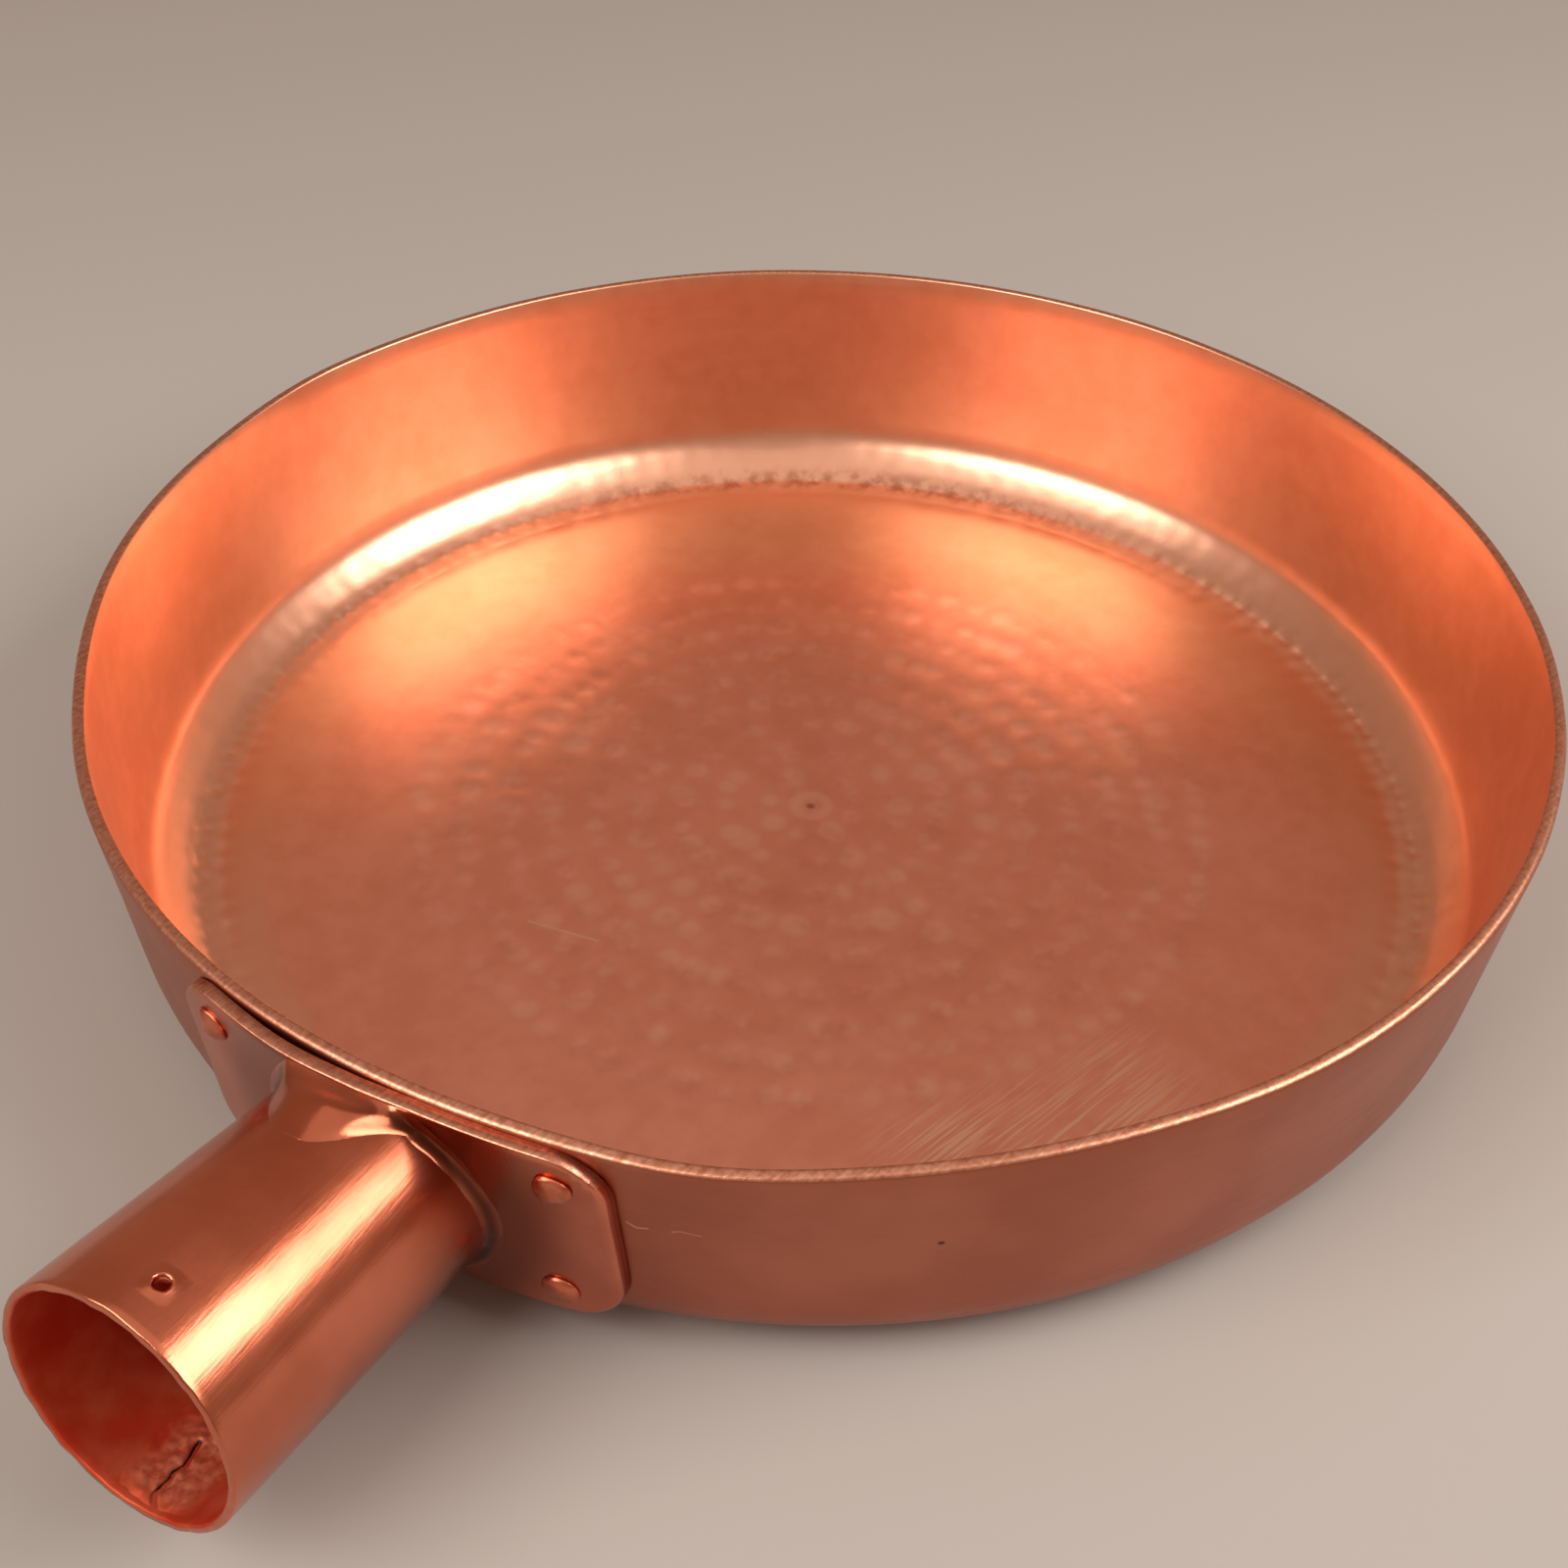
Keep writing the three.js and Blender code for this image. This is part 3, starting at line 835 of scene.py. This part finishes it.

# Outside, the right of the tube is darker towards its foot: painted shade beside the flange.
foot_shade_along = (0.013, 0.002)
foot_shade_right = (0.008, 0.015)
foot_shade_share = 0.7
socket_axis = socket_frame.to_3x3() @ Vector((1, 0, 0))
socket_finish, tree, shader, place = another(fitting_finish, "shaded socket copper")
along_tube = dot(tree, way_from(tree, place, foot_place), socket_axis)
rightwards = wire(tree, "SeparateXYZ", {0: place})["Y"]
foot_shade_reach = times(
    tree, rise(tree, along_tube, *foot_shade_along), rise(tree, rightwards, *foot_shade_right),
)
foot_shade = times(tree, foot_shade_reach, foot_shade_share)
foot_shade_tint = tints(tree, foot_shade, feed_of(shader, "Base Color"), heat_tint_and_shade)
tree.links.new(foot_shade_tint, shader.inputs["Base Color"])

socket = finished("socket_tube", tube, socket_finish, scale_finish)
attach(socket, "root")
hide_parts("handle_socket")


# Foot braze: filler metal run into the corner between the socket's foot and the flange.
# On top it was built up to the flange's edge and filed, and it ends there in a crease. Round the sides
# it is a small hollow fillet, a little lumpy.
braze_up_tube = 0.0024
braze_up_top = 0.0092
braze_over_flange = 0.0024
braze_over_top = 0.0022
braze_sink = 0.0007
braze_bury = 0.00004
braze_steps = 180
braze_rows = 36
braze_hollow = 2 / 3
braze_lumps = 0.00025
lump_scale_across = 1.4
lump_scale_round = 6
top_run_start = math.radians(-58)
top_run_full = math.radians(-8)
top_run_fall = math.radians(0)
top_run_end = math.radians(30)
top_level = 0.0040
crease_half_turn = math.radians(5)
crease_depth = 0.0003
bead_height = 0.0017
bead_lean = 0.75
heat_and_shade_at_tube = 0.7
level_spoke = 0.1


def eased(value, low, high):
    """Goes smoothly from 0 to 1 as a value goes from low to high."""
    share = min(1.0, max(0.0, (value - low) / (high - low)))
    return share * share * (3 - 2 * share)


# The outline stands for the filler's face, and for a back that is sunk in the tube and the flange.
face_ring = 1.0
back_ring = 0.5
face_rows = [(face_ring, row / braze_rows) for row in range(braze_rows + 1)]
back_rows = [(back_ring, row / braze_rows) for row in range(braze_rows, -1, -1)]
fillet = spun(face_rows + back_rows + face_rows[:1], "X", braze_steps)
heat_and_shade_layer = fillet.verts.layers.float.new("heat")
crevice_shade_layer = fillet.verts.layers.float.new("crevice_shade")
for vert in fillet.verts:
    share = vert.co.x
    on_face = vert.co.yz.length > (face_ring + back_ring) / 2
    sunk = braze_bury if on_face else braze_sink
    spoke = vert.co.yz.normalized()
    turn = math.atan2(spoke.x, spoke.y)
    top_run = eased(turn, top_run_start, top_run_full)
    top_run *= 1 - eased(turn, top_run_fall, top_run_end)
    # These layers note where the sides are darkened with heat tint and painted shade, and where the
    # crevice has nearly black painted shade.
    vert[heat_and_shade_layer] = (heat_and_shade_at_tube + (1 - heat_and_shade_at_tube) * share) * (1 - top_run)
    vert[crevice_shade_layer] = math.sin(math.pi * share) * (1 - top_run)
    ring = spoke * (socket_radius(0) - sunk)
    start = foot_on_flange(ring.x, ring.y, -sunk)
    corner = socket_frame @ Vector((start, ring.x, ring.y))
    up_tube = start + braze_up_tube + braze_up_top * top_run
    tube_ring = spoke * (socket_radius(up_tube) - sunk)
    on_tube = socket_frame @ Vector((up_tube, tube_ring.x, tube_ring.y))
    spread = braze_over_flange + braze_over_top * top_run
    if abs(spoke.y) > level_spoke:
        edge_height = flange_high.z if spoke.y > 0 else flange_low.z
        room = (edge_height - corner.z) / spoke.y - fit_gap
        spread = min(spread, max(room, fit_gap))
    across = corner.y + spoke.x * spread
    height = corner.z + spoke.y * spread
    on_plate = on_flange(across, height, flange_face - sunk)
    level = on_plate + Vector((top_level, 0, 0))
    towards_tube = on_tube.lerp(corner, braze_hollow)
    towards_plate = on_plate.lerp(corner, braze_hollow).lerp(level, top_run * on_face)
    vert.co = (
        on_tube * (1 - share) ** 3 + towards_tube * 3 * share * (1 - share) ** 2
        + towards_plate * 3 * share ** 2 * (1 - share) + on_plate * share ** 3
    )
    if on_face:
        outwards = ((on_tube - corner).normalized() + (on_plate - corner).normalized()).normalized()
        swell = math.sin(math.pi * share) ** 2
        lump_place = Vector((share * lump_scale_across, *(spoke * lump_scale_round)))
        lump = braze_lumps * noise.noise(lump_place)
        lump -= crease_depth * max(0.0, 1 - abs(turn - top_run_end) / crease_half_turn)
        off_tube = socket_frame.to_3x3() @ Vector((0, spoke.x, spoke.y))
        heap = math.sin(math.pi * share ** bead_lean) ** 2 * top_run
        vert.co += outwards * lump * swell + off_tube * bead_height * heap
bmesh.ops.recalc_face_normals(fillet, faces=fillet.faces)

# Filed on top, it has the tube's finish. Round the sides it goes over to the flange's darker colour,
# heat tint and painted shade, and to nearly black painted shade in the crevice.
crevice_shade_copper = (0.12, 0.032, 0.017, 1)
braze_finish, tree, shader, place = another(fitting_finish, "filed braze")
heat = noted(tree, "heat")
heat_and_shade_tinted = tints(tree, heat, feed_of(shader, "Base Color"), heat_tint_and_shade)
coat(
    tree, shader,
    colour=tints(tree, noted(tree, "crevice_shade"), heat_and_shade_tinted, crevice_shade_copper),
    roughness=between(tree, heat, 0.22, 0.6),
    relief=flecks(tree, place, 420.0, 4.0), strength=0.3, depth=0.00015,
)

braze = finished("foot_fillet", fillet, braze_finish)
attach(braze, "root")
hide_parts("foot_braze")


# Seam braze: filler run along the bottom of the tube's inside, over the seam of the rolled sheet.
# It set rough and pebbly, and a crooked crack follows the seam in from the mouth.
seam_half_turn = math.radians(24)
seam_turn = math.radians(9)
seam_height = 0.0009
seam_setback = 0.0006
seam_edge_sink = 0.00015
seam_cells_along = 130
seam_cells_round = 64
crown_roundness = 0.7
crown_end_power = 20
pebble_scale = 700
pebble_across = 0.008
pebble_falloff = 0.9
pebble_finer = 2.0
pebble_layers = 3
pebble_level = 0.55
pebble_relief = 0.25

# The crack's bends: the share of the way in from the mouth, and its place across the seam from -1 to 1
crack_points = (
    (0.0, 0.03), (0.015, 0.01), (0.04, -0.14), (0.096, -0.12), (0.114, -0.17),
    (0.148, -0.10), (0.188, -0.17), (0.206, -0.22), (0.23, -0.24),
)
crack_half_width = 0.085
crack_depth = 0.0008


def crack_line(inwards):
    """Where the crack runs across the seam at a share of the way in, or None past its end."""
    for (start, first), (end, last) in zip(crack_points, crack_points[1:]):
        if start <= inwards <= end:
            return first + (last - first) * (inwards - start) / (end - start)
    return None


# The run starts as a flat slab, two wide and two long, which is then laid in the tube.
run_slab = 0.5
run = bmesh.new()
crown_layer = run.verts.layers.float.new("crown")
crack_layer = run.verts.layers.float.new("crack")
bmesh.ops.create_grid(run, x_segments=seam_cells_along, y_segments=seam_cells_round, size=1.0)
bmesh.ops.solidify(run, geom=run.faces[:], thickness=run_slab)
run_top = max(vert.co.z for vert in run.verts)
for vert in run.verts:
    inwards = (1 - vert.co.x) / 2
    sideways = vert.co.y
    angle = math.pi - seam_turn - sideways * seam_half_turn
    along = (socket_length - seam_setback) * (1 - inwards)
    bed = socket_radius(along) - socket_sheet
    if run_top - vert.co.z < run_slab / 2:
        crown = max(0.0, 1 - sideways ** 2) ** crown_roundness
        crown *= max(0.0, 1 - (2 * inwards - 1) ** crown_end_power)
        pebble_place = Vector((along, sideways * pebble_across, 0)) * pebble_scale
        pebbles = noise.fractal(pebble_place, pebble_falloff, pebble_finer, pebble_layers)
        depth = seam_height * crown * (pebble_level + pebble_relief * pebbles)
        depth -= seam_edge_sink * (1 - crown)
        vert[crown_layer] = crown
        crack = crack_line(inwards)
        if crack is not None:
            vert[crack_layer] = max(0.0, 1 - abs(sideways - crack) / crack_half_width)
            depth -= crack_depth * vert[crack_layer]
    else:
        depth = -fit_gap
    across = (bed - depth) * math.sin(angle)
    up = (bed - depth) * math.cos(angle)
    draw = foot_on_flange(across, up) * max(0.0, 1 - along / foot_fade)
    vert.co = socket_frame @ Vector((along + draw, across, up))
bmesh.ops.recalc_face_normals(run, faces=run.faces)

# At its edges the filler goes over raggedly to the scale on the tube's inside.
seam_orange = (0.74, 0.23, 0.13, 1)
seam_dark = (0.54, 0.10, 0.045, 1)
crack_dark = (0.04, 0.010, 0.006, 1)
cover_ragged = 1.2
pebble_strength = 0.6
pebble_depth = 0.0003
seam_finish, tree, shader, place = another(scale_finish, "pebbly seam braze")
pebble = flecks(tree, place, 650.0, 5.0)
ragged = flecks(tree, place, 240.0, 4.0)
covered = rise(tree, sums(tree, "MULTIPLY_ADD", ragged, cover_ragged, noted(tree, "crown")), 1.0, 1.6)
pebbles = tints(tree, rise(tree, pebble, 0.3, 0.7), seam_dark, seam_orange)
blended = tints(tree, covered, feed_of(shader, "Base Color"), pebbles)
cracked = tints(tree, rise(tree, noted(tree, "crack"), 0.1, 0.5), blended, crack_dark)
tree.links.new(cracked, shader.inputs["Base Color"])
pebbled = wire(tree, "Bump", {
    "Strength": times(tree, covered, pebble_strength), "Distance": pebble_depth,
    "Height": pebble, "Normal": feed_of(shader, "Normal"),
})[0]
tree.links.new(pebbled, shader.inputs["Normal"])

seam = finished("seam_run", run, seam_finish)
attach(seam, "root")
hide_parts("seam_braze")


# Rivets: four copper rivets, two in each ear of the flange, set through the wall.
# Each head is a low dome that the hammer left uneven, and the other end is peened flat inside the bowl.
rivet_rows = 0.0272
rivet_spreads = {"upper": 0.060, "lower": 0.056}
rivet_shank = 0.0018
rivet_head = (0.0031, 0.0013)
rivet_peen = (0.0030, 0.0009)
rivet_steps = 40
rivet_rings = 8
rivet_uneven = 0.16
rivet_uneven_scale = 230
rivet_dents = 0.00035
rivet_dents_scale = 330
rivet_dents_from = flange_face + 0.0004
rivet_stretches = 17

rivet_bright = (0.70, 0.22, 0.125, 1)
rivet_dull = (0.54, 0.145, 0.075, 1)
rivet_finish, tree, shader, place = bare_metal("hammered rivet copper")
knocks = flecks(tree, place, 600.0, 4.0)
coat(
    tree, shader,
    colour=tints(tree, rise(tree, knocks, 0.3, 0.7), rivet_dull, rivet_bright),
    roughness=between(tree, knocks, 0.28, 0.4),
    relief=knocks, strength=0.3, depth=0.0001,
)


def dome(radius, height, base):
    """Outline points (radius, distance) of a low dome from its edge to its crown."""
    turns = [math.pi / 2 * ring / rivet_rings for ring in range(rivet_rings + 1)]
    return [Vector((radius * math.cos(turn), base + height * math.sin(turn))) for turn in turns]


rivet_outline = (
    list(reversed(dome(rivet_peen[0], -rivet_peen[1], -bowl_sheet)))
    + [Vector((rivet_shank, -bowl_sheet)), Vector((rivet_shank, flange_face))]
    + dome(rivet_head[0], rivet_head[1], flange_face)
)
for row, side in itertools.product(("upper", "lower"), ("right", "left")):
    node = f"rivet_{row}_{side}"
    height = flange_middle + (rivet_rows if row == "upper" else -rivet_rows) / 2
    across = (rivet_spreads[row] if side == "right" else -rivet_spreads[row]) / 2
    radius = wall_radius(height)
    azimuth = math.asin(across / (radius + flange_face))
    seat = Vector((radius * math.cos(azimuth), radius * math.sin(azimuth), height))
    square = Matrix.Rotation(azimuth, 3, "Z") @ Matrix.Rotation(wall_flare, 3, "Y")
    rivet_shape = spun(rivet_outline, "X", rivet_steps)

    # The name picks a stretch of the noise, so that no two rivets are alike.
    stretch = Vector((sum(map(ord, node)) % rivet_stretches, len(side), 0))
    for vert in rivet_shape.verts:
        out, across, up = vert.co
        flat_place = Vector((across, up, 0))
        uneven = 1 + rivet_uneven * noise.noise(flat_place * rivet_uneven_scale + stretch)
        dent = rivet_dents * noise.noise(flat_place * rivet_dents_scale + stretch)
        dented = out + dent * (out > rivet_dents_from)
        vert.co = follow_rim(seat + square @ Vector((dented, across * uneven, up * uneven)))
    rivet = finished(f"{row}_{side}_rivet", rivet_shape, rivet_finish)
    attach(rivet, "root")
    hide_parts(node)


# Studio: a pale floor under the pan and a soft even surround.
# Nothing here is part of the object.
floor_radius = 8.0
floor_drop = 0.0002
floor_colour = (0.42, 0.40, 0.385, 1)
floor_dullness = 0.8
floor_shape = bmesh.new()
bmesh.ops.create_circle(floor_shape, cap_ends=True, radius=floor_radius, segments=96)
bmesh.ops.translate(floor_shape, verts=floor_shape.verts, vec=(0, 0, -floor_drop))
floor_finish = bpy.data.materials.new("pale floor")
floor_finish.use_nodes = True
floor_shader = floor_finish.node_tree.nodes["Principled BSDF"]
floor_shader.inputs["Base Color"].default_value = floor_colour
floor_shader.inputs["Roughness"].default_value = floor_dullness
floor = finished("floor", floor_shape, floor_finish)

surround_colour = (1.0, 0.66, 0.48, 1)
surround_strength = 0.36
world = bpy.data.worlds.new("studio")
bpy.context.scene.world = world
world.use_nodes = True
surround = world.node_tree.nodes["Background"]
surround.inputs["Color"].default_value = surround_colour
surround.inputs["Strength"].default_value = surround_strength

# Softboxes: name, direction from the pan, distance, width, height and watts
softboxes = (
    ("right softbox", (-0.20, 0.71, 0.68), 1.0, 0.72, 0.5, 7.2),
    ("front softbox", (0.68, -0.24, 0.69), 1.0, 0.62, 0.48, 5.4),
    ("top softbox", (0.02, 0.0, 1.0), 1.0, 1.0, 1.0, 1.3),
)
lamp_colour = (1.0, 0.95, 0.88)
for name, direction, distance, width, height, watts in softboxes:
    lamp = bpy.data.lights.new(name, "AREA")
    lamp.shape = "RECTANGLE"
    lamp.size = width
    lamp.size_y = height
    lamp.energy = watts
    lamp.color = lamp_colour
    box = bpy.data.objects.new(name, lamp)
    away = Vector(direction).normalized()
    facing_pan = away.to_track_quat("Z", "Y").to_matrix().to_4x4()
    box.matrix_world = Matrix.Translation(away * distance) @ facing_pan
    box.visible_camera = False
    bpy.context.scene.collection.objects.link(box)

# Camera: found from the rim, the base and the socket in the photograph, which is 1600 by 1600 pixels
camera_place = Vector((0.28043, 0.14858, 0.27624))
camera_aim = Vector((0.04557, 0.01914, 0.04910))
camera_roll = math.radians(1.33)
focal_pixels = 2220
photo_pixels = 1600
lens = bpy.data.cameras.new("camera")
lens.sensor_width = 36.0
lens.lens = lens.sensor_width * focal_pixels / photo_pixels
lens.clip_start = 0.01
camera = bpy.data.objects.new("camera", lens)
looking = (camera_aim - camera_place).to_track_quat("-Z", "Y").to_matrix().to_4x4()
camera.matrix_world = Matrix.Translation(camera_place) @ looking @ Matrix.Rotation(camera_roll, 4, "Z")
bpy.context.scene.collection.objects.link(camera)
bpy.context.scene.camera = camera
bpy.context.scene.view_settings.view_transform = "Standard"
